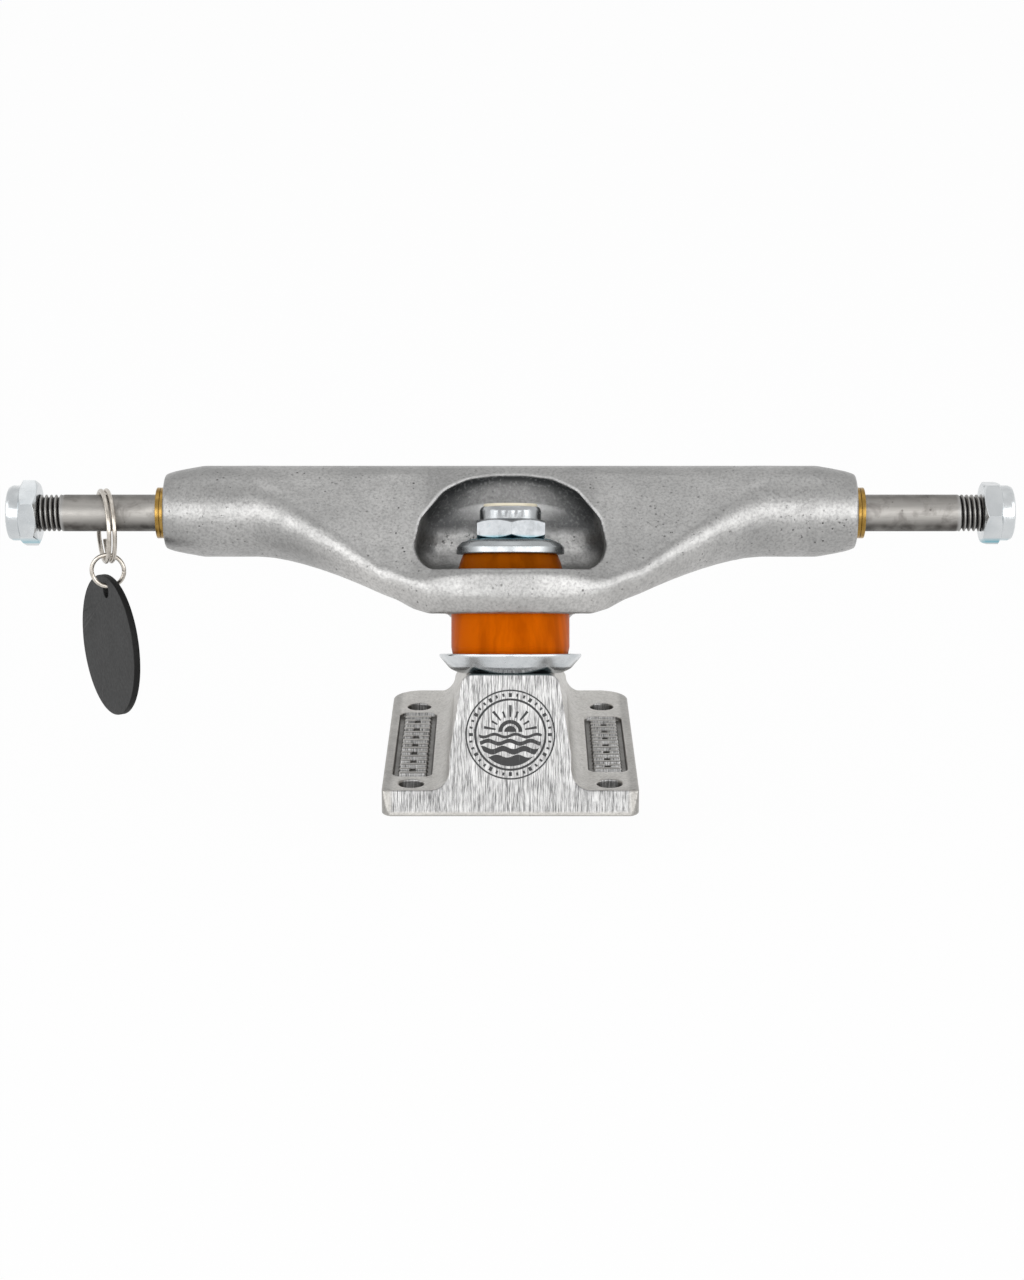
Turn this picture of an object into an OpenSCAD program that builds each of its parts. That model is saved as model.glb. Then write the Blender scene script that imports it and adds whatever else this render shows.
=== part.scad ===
// Skateboard truck: a cast baseplate and hanger, the kingpin stack with its two bushings,
// the axle with its nuts and speed rings, and a round tag hung from the left axle.
// Millimetres. The origin is the middle of the deck bolt pattern on the mounting face,
// X runs along the axle, Y from the kingpin end to the pivot end, Z away from the deck.

/* [Baseplate] */
// Width of the plate across the board
plate_w = 53.4; // [51:0.2:60]
// Reach of the plate in front of the bolt pattern's middle
plate_front = 33; // [32:0.2:36]
// Reach of the plate behind the bolt pattern's middle
plate_back = 39.8; // [37:0.2:46]
// Thickness of the plate's flanges
plate_t = 5.2; // [4:0.1:7]
// Corner radius at the kingpin end
plate_front_r = 2.6; // [1:0.1:4]
// Corner radius at the pivot end
plate_back_r = 6.5; // [3:0.1:9]
// Bolt spacing across the board
bolt_x = 41.275; // [40:0.005:42.5]
// Bolt spacing along the board
bolt_y = 53.975; // [52:0.005:55]
// Bolt hole diameter
bolt_d = 5.3; // [5:0.1:6]
// Width of the kingpin tower at its top
tower_top_w = 21; // [18:0.2:24]
// Width of the kingpin tower just above the flanges
tower_foot_w = 25.4; // [25:0.2:29]
// Radius of the tower's two top corners
tower_corner_r = 3; // [1:0.1:4]
// Radius of the hollow flare where the tower meets the flanges
flare_r = 4; // [2:0.1:5]
// Depth of the tower behind the kingpin's axis
tower_back = 10; // [8:0.2:12]
// Height of the saddle between tower and pivot housing
saddle_h = 14; // [12:0.2:17]
// Width of the saddle's top
saddle_w = 20; // [16:0.2:22]
// Radius of the pivot housing
housing_r = 10.4; // [10:0.1:11.5]
// Width of the cored hollow under the saddle
core_w = 14; // [8:0.5:16]
// Length of the cored hollow under the saddle
core_l = 17; // [8:0.5:19]
// Height of the cored hollow under the saddle
core_h = 8.5; // [4:0.5:9]
// Width of the sunk panels between the bolt holes
panel_w = 8.2; // [5:0.1:9]
// Length of the left panel
panel_left_l = 44.5; // [30:0.5:45]
// Length of the right panel
panel_right_l = 38.5; // [30:0.5:45]
// Depth of the panels
panel_sink = 0.9; // [0.4:0.1:1.5]
// Number of plain rib rows in each panel
panel_ribs = 15; // [7:2:17]

/* [Kingpin stack] */
// Lean of the kingpin towards the pivot, in degrees
kingpin_lean = 16; // [13:0.5:18]
// Distance of the kingpin's foot in front of the bolt pattern's middle
kingpin_front = 22.3; // [21.6:0.1:22.8]
// Kingpin diameter
kingpin_d = 9.525; // [9:0.025:10]
// Kingpin head diameter
head_d = 15.6; // [14:0.1:16.2]
// Kingpin head height
head_h = 4.6; // [3.5:0.1:5.5]
// Distance of the washer seat from the mounting face, along the kingpin
seat_t = 26.6; // [26:0.1:27.5]
// Outer diameter of the bottom cup washer
low_cup_d = 30; // [29:0.1:31]
// Height of the bottom cup washer
low_cup_h = 4.1; // [3.8:0.1:4.6]
// Sheet thickness of both cup washers
cup_sheet = 1.5; // [1.2:0.1:1.7]
// Diameter of the bottom bushing's barrel
low_bush_d = 24.9; // [24:0.1:25.4]
// Free height of the bottom bushing between washer and hanger seat
low_bush_h = 13.6; // [13:0.1:14.4]
// Diameter of the top bushing where it enters the hanger
top_bush_d = 22.1; // [21.4:0.1:22.4]
// Diameter of the top bushing at its washer
top_bush_end_d = 20.1; // [19.4:0.1:20.4]
// Free height of the top bushing between hanger seat and washer
top_bush_h = 7.8; // [7.4:0.1:8.6]
// Outer diameter of the top cup washer
top_cup_d = 22.8; // [22.2:0.1:23]
// Height of the top cup washer
top_cup_h = 3.2; // [3:0.1:3.4]
// Width across flats of the kingpin nut
king_nut_af = 14.29; // [13.6:0.01:14.6]
// Height of the kingpin nut
king_nut_h = 7; // [6.6:0.1:7.6]

/* [Hanger] */
// Width of the hanger over its two end faces
hanger_w = 149; // [146:0.5:156]
// Distance of the axle behind the kingpin, square to the kingpin
axle_back = 16.4; // [16:0.1:18]
// Height of the axle over the yoke's middle, along the kingpin
axle_rise = 17.5; // [17:0.1:19]
// Radius of the axle tube
tube_r = 9.85; // [9.4:0.05:10.2]
// Radius of the tube's end faces
tube_end_r = 7.9; // [7.2:0.05:8.6]
// Length of the taper at each end of the tube
tube_taper = 8.4; // [5:0.1:10]
// Outer radius of the yoke around the bushings
yoke_r = 18.5; // [17.8:0.1:19.2]
// Thickness of the yoke
yoke_t = 9.3; // [8.8:0.1:9.8]
// Thickness of the web between the two bushing seats
yoke_web = 3.7; // [3.4:0.1:4]
// Radius of the kingpin's opening in the web
yoke_hole_r = 7.4; // [7:0.1:8]
// Distance from the middle at which the arms run out into the tube
arm_end = 54; // [48:0.5:55]
// Angle of the steering axis below the mounting plane's parallel, in degrees
steer_angle = 31.7; // [30:0.1:33]
// Distance of the pivot's tip from the yoke's middle
pivot_reach = 45; // [44.2:0.1:45.8]
// Radius of the pivot's round tip
pivot_tip_r = 5.8; // [5.4:0.1:6]

/* [Axle] */
// Axle length from tip to tip
axle_l = 215.9; // [214.4:0.1:222]
// Diameter of the axle's journals
axle_d = 7.94; // [7.9:0.01:8]
// Diameter of the axle's cast-in middle
grip_d = 8.4; // [8.36:0.02:8.6]
// Length of the threaded end
thread_l = 11; // [9.6:0.1:12]
// Depth of the thread below the journal
thread_sink = 0.2; // [0.1:0.05:0.4]
// Width across flats of the axle nuts
nut_af = 12.7; // [12:0.05:13.2]
// Height of the axle nuts
nut_h = 6.8; // [6.2:0.1:7.4]
// Outer diameter of the speed rings
speed_ring_d = 11; // [10.4:0.1:12]
// Thickness of a speed ring
speed_ring_t = 0.9; // [0.7:0.05:1]

/* [Tag] */
// Distance of the tag's ring from the middle of the axle
tag_place = 87.6; // [86:0.1:90]
// Outer diameter of the split ring
split_d = 16.5; // [15.8:0.1:17]
// Wire diameter of the split ring
split_wire = 1.15; // [0.9:0.05:1.2]
// Turn of the split ring about the vertical, in degrees
split_turn = 17; // [0:1:25]
// Outer diameter of the jump ring
jump_d = 8; // [7.8:0.1:9]
// Wire diameter of the jump ring
jump_wire = 0.95; // [0.8:0.05:1]
// Diameter of the round tag
tag_d = 31; // [26:0.5:34]
// Thickness of the tag
tag_t = 1.5; // [1.2:0.1:2]
// Diameter of the tag's hole
tag_hole_d = 3.2; // [3:0.1:3.6]
// Width of the tag's rim above its hole
tag_rim = 1.6; // [1.4:0.1:2.2]
// Turn of the tag about the vertical, in degrees
tag_turn = 61; // [50:1:75]

/* [Fits] */
// Gap between pieces that are pressed or screwed together
snug = 0.02; // [0.01:0.01:0.04]
// Radial play of the pivot in its cup
pivot_play = 0.08; // [0.05:0.01:0.1]
// Radial play of the axle nuts on the axle
nut_play = 0.06; // [0.04:0.01:0.1]
// Radial play of the speed rings
ring_play = 0.15; // [0.1:0.01:0.3]
// Play of the bushings in the hanger's seats
bush_play = 0.3; // [0.2:0.05:0.5]
// Axial gap between a bushing and its hanger seat
bush_gap = 0.05; // [0.02:0.01:0.1]
// Gap between the loose rings and what they hang on
hang_gap = 0.2; // [0.15:0.05:0.3]

/* [Hidden] */
$fn = 64;
hull_fn = 28;
over = 1;

// Stack heights along the kingpin, counted from the mounting face
seat_deep = (yoke_t - yoke_web) / 2;
low_bush_t = seat_t + cup_sheet;
web_low_t = low_bush_t + low_bush_h + bush_gap;
yoke_mid_t = web_low_t + yoke_web / 2;
top_bush_t = web_low_t + yoke_web + bush_gap;
top_cup_top_t = top_bush_t + top_bush_h + cup_sheet;
king_nut_top_t = top_cup_top_t + king_nut_h;

// Places in the row's own frame
yoke_y = yoke_mid_t * sin(kingpin_lean) - kingpin_front;
yoke_z = yoke_mid_t * cos(kingpin_lean);
axle_y = yoke_y + axle_back * cos(kingpin_lean) + axle_rise * sin(kingpin_lean);
axle_z = yoke_z - axle_back * sin(kingpin_lean) + axle_rise * cos(kingpin_lean);
front_face = (plate_front - kingpin_front) * cos(kingpin_lean);

// What stands in front of the face before it is cut flat
front_trim = 0.05;
raw_front = plate_front + front_trim;

// Pivot, counted along the steering axis from the yoke's middle
cup_depth = 11.6;
cup_sunk = 0.4;
cup_mouth = pivot_reach - cup_depth;
cup_wall = 2.4;
cup_r = pivot_tip_r + cup_wall;
cup_end = pivot_reach + pivot_play + cup_wall;
nose_root = 24;
nose_root_r = 7.2;
leg_r = 8;

// Axle ends
ring_gap = 0.02;
ring_spare = 0.1;
grip_half = hanger_w / 2 + 2 * speed_ring_t + ring_spare;
nut_past_tip = 0.6;
nut_inner = axle_l / 2 + nut_past_tip - nut_h;
tip_bevel = 1;
axle_r = axle_d / 2;

// Tag chain, counted from the axle's own middle
split_in_r = split_d / 2 - split_wire;
split_drop = split_in_r - axle_r - hang_gap;
split_mid_r = split_d / 2 - split_wire / 2;
split_gap = 0.06;
split_pitch = split_wire + split_gap;
split_low = split_drop + split_mid_r;
jump_in_r = jump_d / 2 - jump_wire;
jump_low = split_low + jump_in_r - split_wire / 2 - hang_gap;
jump_mid_r = jump_d / 2 - jump_wire / 2;
tag_hole_low = jump_low + jump_in_r + tag_hole_d / 2 - hang_gap;
tag_low = tag_hole_low + tag_d / 2 - tag_rim - tag_hole_d / 2;

casting = "darkgray";
zinc = "lightsteelblue";
urethane = "darkorange";
nylon = "cornsilk";
steel = "silver";
brass = "darkkhaki";

// Local frame with z up the kingpin and y square to it towards the pivot
module on_kingpin(t = 0)
    translate([0, -kingpin_front, 0])
    rotate([-kingpin_lean, 0, 0])
    translate([0, 0, t])
    children();

// Local frame with z down the steering axis, from the yoke's middle
module on_steering(u = 0)
    translate([0, yoke_y, yoke_z])
    rotate([-90 - steer_angle, 0, 0])
    translate([0, 0, u])
    children();

// Local frame with z along the axle, outwards on the given side
module on_axle(side, x = 0)
    translate([0, axle_y, axle_z])
    rotate([0, 90 * side, 0])
    translate([0, 0, x])
    children();

// Local frame under the axle where the tag hangs
module at_tag(drop = 0)
    translate([-tag_place, axle_y, axle_z - drop])
    children();

// A round bar or bore from height a to height b
module rod(r, a, b)
    translate([0, 0, a])
    cylinder(r = r, h = b - a);

// Plan of the mounting plate with its four rounded corners
module plate_plan()
    difference() {
        translate([-plate_w / 2, -raw_front])
            square([plate_w, raw_front + plate_back]);
        for (side = [-1, 1]) {
            corner_cut(side, -1, raw_front, plate_front_r);
            corner_cut(side, 1, plate_back, plate_back_r);
        }
    }

// What rounding takes off one corner of the plate
module corner_cut(side, end, reach, r)
    translate([side * (plate_w / 2 - r), end * (reach - r)])
    difference() {
        translate([side > 0 ? 0 : -r - over, end > 0 ? 0 : -r - over])
            square(r + over);
        circle(r);
    }

// Front outline of the kingpin tower, drawn in the plane of its face
module tower_outline() {
    foot_t = (plate_t + flare_r) / cos(kingpin_lean);
    shoulder = tower_top_w / 2 - tower_corner_r;
    polygon([
        [-tower_foot_w / 2, -tower_foot_w], [tower_foot_w / 2, -tower_foot_w],
        [tower_foot_w / 2, foot_t], [tower_top_w / 2, seat_t - tower_corner_r],
        [shoulder, seat_t - tower_corner_r], [shoulder, seat_t],
        [-shoulder, seat_t], [-shoulder, seat_t - tower_corner_r],
        [-tower_top_w / 2, seat_t - tower_corner_r], [-tower_foot_w / 2, foot_t]]);
    for (side = [-1, 1])
        translate([side * shoulder, seat_t - tower_corner_r])
            circle(tower_corner_r);
}

// Outline of the saddle that runs the length of the plate, flared into the flanges
module saddle_outline() {
    half = tower_foot_w / 2;
    neck = plate_t + flare_r;
    polygon([
        [-half, 0], [half, 0], [half, neck], [saddle_w / 2, saddle_h],
        [-saddle_w / 2, saddle_h], [-half, neck]]);
    for (side = [-1, 1])
        difference() {
            translate([side > 0 ? half - over : -half - flare_r, plate_t - over])
                square([flare_r + over, flare_r + over]);
            translate([side * (half + flare_r), neck])
                circle(flare_r);
        }
}

// Keeps what lies above the mounting face and in front of the plate's back edge
module above_deck()
    intersection() {
        union() children();
        translate([-plate_w, -plate_w, 0])
            cube([2 * plate_w, plate_w + plate_back - over, 2 * plate_w]);
    }

panel_r = 1.8;
panel_margin = 1.2;
rib_share = 0.5;
rib_gap = 1.1;

// One sunk panel with its rows of plain ribs, whole and split by turns, cut from the flange's top
module panel(side, length) {
    rib_pitch = (length - 2 * panel_margin) / panel_ribs;
    rib_w = panel_w - 2 * panel_margin;
    translate([side * bolt_x / 2, 0, plate_t - panel_sink])
        linear_extrude(panel_sink + over)
        difference() {
            union() {
                square([panel_w - 2 * panel_r, length], center = true);
                square([panel_w, length - 2 * panel_r], center = true);
                for (x = [-1, 1], y = [-1, 1])
                    translate([x * (panel_w / 2 - panel_r), y * (length / 2 - panel_r)])
                        circle(panel_r);
            }
            for (i = [0 : panel_ribs - 1])
                translate([0, (i - (panel_ribs - 1) / 2) * rib_pitch])
                    difference() {
                        square([rib_w, rib_pitch * rib_share], center = true);
                        if (i % 2 == 1)
                            square([rib_gap, rib_pitch], center = true);
                    }
        }
}

core_back = 6;

// Hollow left by the casting core under the saddle
module core()
    translate([0, core_back, -over])
    linear_extrude(core_h + over)
    union() {
        square([core_w, core_l], center = true);
        for (end = [-1, 1])
            translate([0, end * core_l / 2])
                circle(core_w / 2);
    }

module baseplate()
    color(casting)
    difference() {
        union() {
            linear_extrude(plate_t)
                plate_plan();
            above_deck() {
                on_kingpin()
                    translate([0, tower_back, 0])
                    rotate([90, 0, 0])
                    linear_extrude(front_face + front_trim + tower_back)
                    tower_outline();
                translate([0, plate_back, 0])
                    rotate([90, 0, 0])
                    linear_extrude(plate_back + raw_front)
                    saddle_outline();
                on_steering()
                    rod(housing_r, cup_mouth - cup_sunk, cup_end + 3 * housing_r);
            }
        }
        on_kingpin()
            translate([-plate_w, -front_face - 2 * plate_t, -plate_w])
            cube([2 * plate_w, 2 * plate_t, 2 * plate_w]);
        on_kingpin() {
            rod(kingpin_d / 2 + snug, 0, seat_t + over);
            rod(head_d / 2 + snug, -head_d, head_low() + head_h);
        }
        on_steering()
            rod(cup_r + snug, 0, cup_end);
        for (x = [-1, 1], y = [-1, 1])
            translate([x * bolt_x / 2, y * bolt_y / 2, 0])
            rod(bolt_d / 2, -over, plate_t + over);
        panel(-1, panel_left_l);
        panel(1, panel_right_l);
        core();
    }

// Distance along the kingpin at which its leaning head clears the mounting face
head_clear = 0.3;
function head_low() = head_d / 2 * tan(kingpin_lean) + head_clear;

module pivot_cup()
    color(urethane)
    on_steering()
    difference() {
        rod(cup_r, cup_mouth, cup_end);
        nose(pivot_play);
    }

// The pivot's cone and round tip, grown by the given play
module nose(play) {
    tip = pivot_reach - pivot_tip_r;
    translate([0, 0, nose_root])
        cylinder(r1 = nose_root_r + play, r2 = pivot_tip_r + play, h = tip - nose_root);
    translate([0, 0, tip])
        sphere(pivot_tip_r + play);
}

king_bevel = 0.8;
king_past_nut = 0.2;

module kingpin()
    color(steel)
    on_kingpin() {
        shank_top = king_nut_top_t + king_past_nut - king_bevel;
        rod(head_d / 2, head_low(), head_low() + head_h);
        rod(kingpin_d / 2, head_low() + head_h, shank_top);
        translate([0, 0, shank_top])
            cylinder(r1 = kingpin_d / 2, r2 = kingpin_d / 2 - king_bevel, h = king_bevel);
    }

// Slope of each cup washer from floor to rim, how much of its height the rim's plain band takes,
// and the shares of its pressed section
low_cup_slope = 4;
top_cup_slope = 2.6;
low_cup_band = 0.15;
top_cup_band = 0.45;
cup_knee = [0.42, 0.28];
cup_lip_share = 0.7;
cup_bend_share = 0.3;
stack_bore_r = kingpin_d / 2 + snug;

// A pressed cup washer, its flat floor at zero and its rim at height h
module cup_washer(d, h, floor_r, band)
    rotate_extrude()
    polygon([
        [stack_bore_r, 0], [floor_r, 0],
        [mix(floor_r, d / 2, cup_knee[0]), h * (1 - band) * cup_knee[1]],
        [d / 2, h * (1 - band)], [d / 2, h],
        [d / 2 - cup_sheet * cup_lip_share, h], [floor_r - cup_sheet * cup_bend_share, cup_sheet],
        [stack_bore_r, cup_sheet]]);

module bottom_cup_washer()
    color(zinc)
    on_kingpin(seat_t)
    cup_washer(low_cup_d, low_cup_h, low_cup_d / 2 - low_cup_slope, low_cup_band);

// How the bushings draw in towards their washers, and the bevels at their hanger ends
low_bush_foot = 1.2;
low_bush_waist = [0.4, 2.2];
low_bush_full = 4;
low_bush_bevel = 1;
top_bush_bevel = 0.8;
top_bush_end = [2, 1.9];

module bottom_bushing()
    color(urethane)
    on_kingpin(low_bush_t)
    rotate_extrude()
    polygon([
        [stack_bore_r, 0], [low_cup_d / 2 - low_cup_slope - low_bush_foot, 0],
        [low_bush_d / 2 - low_bush_waist[0], low_bush_waist[1]],
        [low_bush_d / 2, low_bush_full], [low_bush_d / 2, low_bush_h - low_bush_bevel],
        [low_bush_d / 2 - low_bush_bevel, low_bush_h], [stack_bore_r, low_bush_h]]);

module top_bushing()
    color(urethane)
    on_kingpin(top_bush_t)
    rotate_extrude()
    polygon([
        [stack_bore_r, 0], [top_bush_d / 2 - top_bush_bevel, 0], [top_bush_d / 2, top_bush_bevel],
        [top_bush_d / 2, seat_deep], [top_bush_end_d / 2, top_bush_h - top_bush_end[1]],
        [top_bush_end_d / 2 - top_bush_end[0], top_bush_h], [stack_bore_r, top_bush_h]]);

module top_cup_washer()
    color(zinc)
    on_kingpin(top_cup_top_t)
    mirror([0, 0, 1])
    cup_washer(top_cup_d, top_cup_h, top_cup_d / 2 - top_cup_slope, top_cup_band);

// Shares of a lock nut's height, its chamfers, and the rounding of its collar
hex_share = 0.58;
insert_share = 0.7;
face_in = 0.2;
corner_drop = 0.7;
collar_round = 1.1;
collar_bevel = 0.35;

// A lock nut standing on zero: chamfered hexagon, round collar and the insert's seat
module lock_nut(af, h, bore_r, collar_r, insert_r) {
    hex_h = h * hex_share;
    corner_r = af / sqrt(3);
    difference() {
        union() {
            intersection() {
                cylinder(r = corner_r, h = hex_h, $fn = 6);
                rotate_extrude()
                    polygon([
                        [0, 0], [af / 2 - face_in, 0], [corner_r, corner_drop],
                        [corner_r, hex_h - corner_drop], [af / 2 - face_in, hex_h], [0, hex_h]]);
            }
            rotate_extrude()
                polygon([
                    [0, hex_h - over], [collar_r, hex_h - over], [collar_r, h - collar_round],
                    [collar_r - collar_bevel, h - collar_bevel], [collar_r - collar_round, h], [0, h]]);
        }
        rod(bore_r, -over, h + over);
        rod(insert_r, insert_low(h), h + over);
    }
}

// Height in a lock nut at which its insert starts
function insert_low(h) = h * insert_share;

// The ring of nylon in a lock nut
module insert(h, bore_r, insert_r, rise)
    difference() {
        rod(insert_r - snug, insert_low(h), h + rise);
        rod(bore_r, 0, h + 2 * over);
    }

king_collar_in = 0.65;
king_collar_r = king_nut_af / 2 - king_collar_in;
king_insert_wall = 0.9;
king_insert_r = kingpin_d / 2 + king_insert_wall;
king_insert_rise = 0.4;
king_nut_turn = -88;

module kingpin_nut()
    color(zinc)
    on_kingpin(top_cup_top_t)
    rotate([0, 0, king_nut_turn])
    lock_nut(king_nut_af, king_nut_h, stack_bore_r, king_collar_r, king_insert_r);

module kingpin_nut_insert()
    color(nylon)
    on_kingpin(top_cup_top_t)
    insert(king_nut_h, stack_bore_r, king_insert_r, king_insert_rise);

// Hanger casting, drawn from the yoke's middle: x along the axle, y back, z up the kingpin
half_w = hanger_w / 2;
tube_lift = 0.35;
tube_mid = [axle_back, axle_rise + tube_lift];
tube_low = axle_rise + tube_lift - tube_r;
arm_q = axle_back - tube_r;
tangent_turn = atan2(arm_q, arm_end) - acos(yoke_r / norm([arm_end, arm_q]));
tangent_x = yoke_r * cos(tangent_turn);
tangent_q = yoke_r * sin(tangent_turn);
under_from = yoke_r;
under_bend = 1.5;
yoke_flat = 1.4;
lip_share = 0.25;
lip_bend = 6;
skin_points = 48;

// Rounded front edge: its radius at the yoke, where and how it grows, its least height out on the arms,
// the height and set-back of its lower bevel, the softness of its corners from yoke to tube,
// and how round it turns in plan at the yoke and at the tube
yoke_edge_r = 1.5;
grow_from = 7;
grow_bend = 1.35;
arm_h = 7;
edge_bevel = 2.2;
edge_set = 1.6;
yoke_soft = 0.35;
arm_soft = 0.9;
tube_soft = 0.12;
plan_soft = 0.5;
plan_round = 3.5;
arm_slope = (arm_q - tangent_q) / (arm_end - tangent_x);
arm_out = arm_end + plan_round / arm_slope;

function mix(a, b, u) = a + (b - a) * u;
function ease(u) = let (c = max(0, min(1, u))) c * c * (3 - 2 * c);

// Front edge of the casting in plan: the yoke's flat, rounded into the straight arms, then the tube
function front_q(x) =
    let (line = arm_q + arm_slope * (x - arm_end),
        near = max(0, 1 - abs(line - arm_q) / plan_round),
        arm = min(line, arm_q) - plan_round * near * near / 4)
    plan_soft * ln(exp((yoke_flat - yoke_r) / plan_soft) + exp(arm / plan_soft));

// Lower edge of the casting in front view
function under_t(x) =
    let (u = max(0, min(1, (x - under_from) / (arm_end - under_from))))
    mix(-yoke_t / 2, tube_low, 1 - pow(1 - u, under_bend));

// How far the front edge has grown from the yoke's into the tube's, and its radius and height there
function grown(x) = max(0, min(1, (x - grow_from) / (arm_end - grow_from)));
function edge_r(x) = mix(yoke_edge_r, tube_r, pow(grown(x), grow_bend));
function edge_h(x) = max(2 * edge_r(x), mix(yoke_t, arm_h, grown(x)));

// Tube radius, tapering to its end faces
function tube_at(x) =
    let (u = max(0, (x - half_w + tube_taper) / tube_taper))
    mix(tube_r, tube_end_r, mix(u, pow(u, lip_bend), lip_share));

// Middles of the three roundings of the front edge: its top, the top of its bevel and its foot
function edge_mids(x) =
    let (r = edge_r(x), q = front_q(x) + r, t = under_t(x), left = 1 - grown(x))
    [[q, t + edge_h(x) - r],
        [q, t + min(edge_h(x) - r, r + edge_bevel * left)],
        [q + edge_set * left, t + r]];

// One section: the tube and the roundings of the front edge, blended round the turn
function section(x) =
    let (ax = abs(x), u = 2 * grown(ax),
        soft = u < 1 ? mix(yoke_soft, arm_soft, u) : mix(arm_soft, tube_soft, u - 1),
        mids = concat([tube_mid], ax < arm_out ? edge_mids(ax) : []),
        radii = [for (i = [0 : len(mids) - 1]) i == 0 ? tube_at(ax) : edge_r(ax)])
    [for (k = [0 : skin_points - 1])
        let (turn = 360 * k / skin_points, n = [cos(turn), sin(turn)],
            pull = [for (i = [0 : len(mids) - 1]) exp((mids[i] * n + radii[i]) / soft)],
            parts = [for (i = [0 : len(mids) - 1]) pull[i] * (mids[i] + radii[i] * n)],
            p = total(parts) / total(pull))
        [x, p[0], p[1]]];

function total(list, i = 0) = i == len(list) - 1 ? list[i] : list[i] + total(list, i + 1);

arm_steps = 18;
taper_steps = [0, 0.25, 0.5, 0.75, 0.92, 1];
half_stations = concat(
    [for (i = [1 : arm_steps]) arm_out * i / arm_steps],
    [for (u = taper_steps) half_w - tube_taper * (1 - u)]);
stations = concat([for (i = [len(half_stations) - 1 : -1 : 0]) -half_stations[i]], [0], half_stations);

// Lofted skin of arms and tube through all the sections
module skin() {
    n = skin_points;
    last = len(stations) - 1;
    polyhedron(
        points = [for (x = stations) each section(x)],
        faces = concat(
            [[for (k = [0 : n - 1]) k]],
            [[for (k = [n - 1 : -1 : 0]) last * n + k]],
            [for (i = [0 : last - 1], k = [0 : n - 1])
                let (a = i * n + k, b = i * n + (k + 1) % n)
                each [[a, a + n, b + n], [a, b + n, b]]]));
}

// Balls that shape the scoop: half spread, place back, height over the yoke's middle, radius
scoop_balls = [[2.7, 7.4, axle_rise + 4.9, 4.15], [6.9, 7.1, axle_rise + 3.7, 4.3],
    [11.1, 6.4, axle_rise + 0.6, 4.6], [14.3, 6.7, 13.4, 5], [14.6, 6.9, 9.8, 5.4]];
scoop_front = -24;

// Scoop that gives the nut and its spanner room, open to the front above the yoke
module scoop()
    intersection() {
        hull() {
            for (side = [-1, 1], ball = scoop_balls, back = [ball[1], scoop_front])
                translate([side * ball[0], back, ball[2]])
                sphere(ball[3], $fn = hull_fn);
        }
        translate([-half_w, -half_w, yoke_t / 2])
            cube([hanger_w, hanger_w, hanger_w]);
    }

// Leg from the tube down to the pivot, and the bevels of the yoke's rim
leg_spread = 19;
leg_rise = 9;
leg_foot_r = 6;
yoke_in = 0.5;
yoke_low_bevel = 3;
yoke_top_bevel = 0.8;

// Leg from the tube down to the root of the pivot
module leg()
    hull() {
        for (side = [-1, 1])
            on_kingpin(yoke_mid_t)
                translate([side * leg_spread, axle_back, leg_rise])
                sphere(leg_foot_r, $fn = hull_fn);
        on_steering(nose_root)
            sphere(leg_r, $fn = hull_fn);
    }

// Ring around the bushing seats, just inside the lofted front edge
module yoke() {
    ring_r = yoke_r - yoke_flat - yoke_in;
    rotate_extrude()
        polygon([
            [0, -yoke_t / 2], [ring_r - yoke_low_bevel, -yoke_t / 2],
            [ring_r, yoke_low_bevel - yoke_t / 2], [ring_r, yoke_t / 2 - yoke_top_bevel],
            [ring_r - yoke_top_bevel, yoke_t / 2], [0, yoke_t / 2]]);
}

module hanger()
    color(casting)
    difference() {
        union() {
            difference() {
                union() {
                    on_kingpin(yoke_mid_t)
                        skin();
                    leg();
                }
                on_kingpin(yoke_mid_t)
                    scoop();
            }
            on_kingpin(yoke_mid_t)
                yoke();
            on_steering()
                nose(0);
        }
        on_kingpin() {
            rod(yoke_hole_r, low_bush_t, king_nut_top_t);
            rod(low_bush_d / 2 + bush_play, seat_t, web_low_t);
            rod(top_bush_d / 2 + bush_play, top_bush_t - bush_gap, king_nut_top_t - king_nut_h);
        }
        on_axle(1)
            rod(grip_d / 2 + snug, -hanger_w, hanger_w);
    }

module axle()
    color(steel) {
        on_axle(1)
            rod(grip_d / 2, -grip_half, grip_half);
        for (side = [-1, 1])
            on_axle(side) {
                rod(axle_r, grip_half, axle_l / 2 - thread_l);
                rod(axle_r - thread_sink, axle_l / 2 - thread_l, axle_l / 2 - tip_bevel);
                translate([0, 0, axle_l / 2 - tip_bevel])
                    cylinder(r1 = axle_r - thread_sink, r2 = axle_r - tip_bevel, h = tip_bevel);
            }
    }

// A speed ring, first or second from the hanger's end face
module speed_ring(side, place)
    color(brass)
    on_axle(side, half_w + place * (speed_ring_t + ring_gap) + ring_gap)
    difference() {
        cylinder(r = speed_ring_d / 2, h = speed_ring_t);
        rod(grip_d / 2 + ring_play, -over, speed_ring_t + over);
    }

module speed_ring_left_inner() speed_ring(-1, 0);
module speed_ring_left_outer() speed_ring(-1, 1);
module speed_ring_right_inner() speed_ring(1, 0);
module speed_ring_right_outer() speed_ring(1, 1);

nut_collar_in = 0.4;
nut_collar_r = nut_af / 2 - nut_collar_in;
nut_insert_wall = 1;
nut_insert_r = axle_r + nut_insert_wall;
nut_insert_sunk = 0.3;
nut_left_turn = -2;
nut_right_turn = 23;

// An axle nut, turned so that its corners stand at the given angle
module axle_nut(side, turn)
    color(zinc)
    on_axle(side, nut_inner)
    rotate([0, 0, turn])
    lock_nut(nut_af, nut_h, axle_r + nut_play, nut_collar_r, nut_insert_r);

module axle_nut_insert(side)
    color(nylon)
    on_axle(side, nut_inner)
    insert(nut_h, axle_r + nut_play, nut_insert_r, -nut_insert_sunk);

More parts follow.
